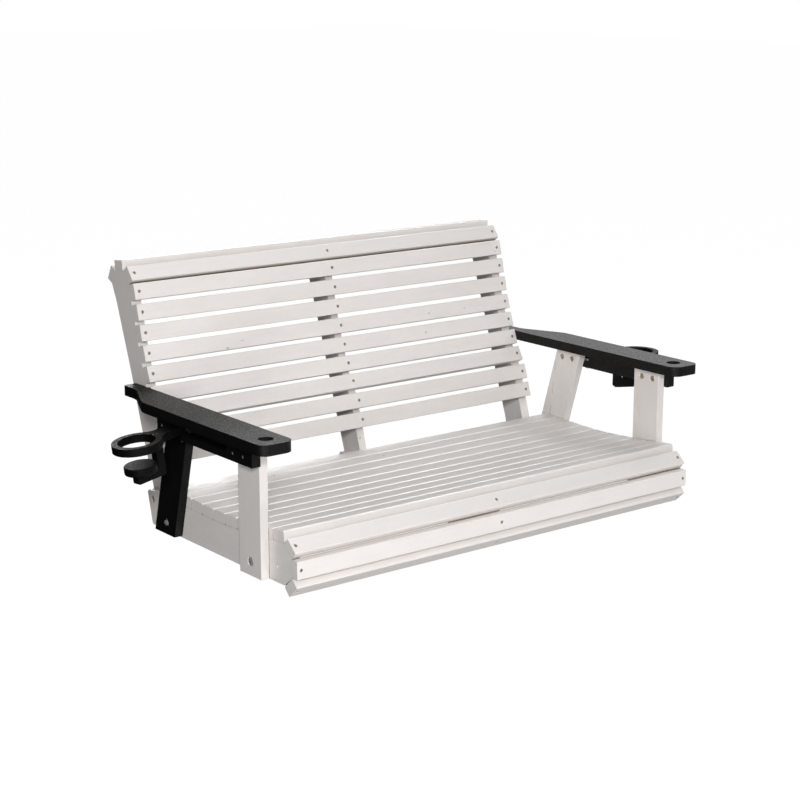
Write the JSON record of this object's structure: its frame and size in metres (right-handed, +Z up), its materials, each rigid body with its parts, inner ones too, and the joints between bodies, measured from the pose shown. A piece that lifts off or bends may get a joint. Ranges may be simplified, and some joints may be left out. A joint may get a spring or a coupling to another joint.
{
  "type": "porch swing seat",
  "caption": "Slatted two-person porch swing seat with a rolled front and top, flat arms on posts and a swing-out cup holder under each arm.",
  "frame": {"origin": "middle of the whole width and depth, at the height of the lowest edge (the lower front slat)", "axes": "+X to the right as seen by someone facing the seat, +Y towards the back, +Z up; x = 0 is the middle of the seat"},
  "size_m": [1.6613, 0.8484, 0.6552],
  "materials": {
    "white_lumber": "fine matte grain, lightly mottled off-white plastic lumber",
    "black_lumber": "fine matte grain, black plastic lumber",
    "steel": "stainless steel, dull"
  },
  "bodies": {
    "seat": {"seat_rail_left": "white_lumber", "back_support_left": "white_lumber", "arm_left": "black_lumber", "arm_post_front_left": "white_lumber", "arm_post_rear_left": "black_lumber", "arm_rail_left": "black_lumber", "post_bolt_front_left": "steel", "post_bolt_rear_left": "steel", "hanger_bolt_rear_left": "steel", "cup_holder_pin_left": "steel", "seat_rail_right": "white_lumber", "back_support_right": "white_lumber", "arm_right": "black_lumber", "arm_post_front_right": "white_lumber", "arm_post_rear_right": "white_lumber", "arm_rail_right": "black_lumber", "post_bolt_front_right": "steel", "post_bolt_rear_right": "steel", "hanger_bolt_rear_right": "steel", "cup_holder_pin_right": "steel", "seat_rail_middle": "white_lumber", "back_support_middle": "white_lumber", "seat_slat_01": "white_lumber", "seat_slat_02": "white_lumber", "seat_slat_03": "white_lumber", "seat_slat_04": "white_lumber", "seat_slat_05": "white_lumber", "seat_slat_06": "white_lumber", "seat_slat_07": "white_lumber", "seat_slat_08": "white_lumber", "seat_slat_09": "white_lumber", "seat_slat_10": "white_lumber", "back_slat_01": "white_lumber", "back_slat_02": "white_lumber", "back_slat_03": "white_lumber", "back_slat_04": "white_lumber", "back_slat_05": "white_lumber", "back_slat_06": "white_lumber", "back_slat_07": "white_lumber", "back_slat_08": "white_lumber", "back_slat_09": "white_lumber", "front_slat_upper": "white_lumber", "front_slat_face": "white_lumber", "front_slat_lower": "white_lumber", "back_slat_top_front": "white_lumber", "back_slat_cap": "white_lumber", "back_slat_top_rear": "white_lumber"},
    "cup_holder_left": {"cup_holder_ring_left": "black_lumber", "cup_holder_bracket_left": "black_lumber", "cup_holder_disc_left": "black_lumber"},
    "cup_holder_right": {"cup_holder_ring_right": "black_lumber", "cup_holder_bracket_right": "black_lumber", "cup_holder_disc_right": "black_lumber"}
  },
  "joints": [
    {"name": "cup_holder_left_swing", "type": "hinge", "parent": "seat", "child": "cup_holder_left", "pos_m": [-0.6429, -0.0132, 0.3185], "axis": [0, 0, 1], "range_deg": [-44, 40]},
    {"name": "cup_holder_right_swing", "type": "hinge", "parent": "seat", "child": "cup_holder_right", "pos_m": [0.6429, -0.0132, 0.3185], "axis": [0, 0, 1], "range_deg": [-23, 64]}
  ]
}
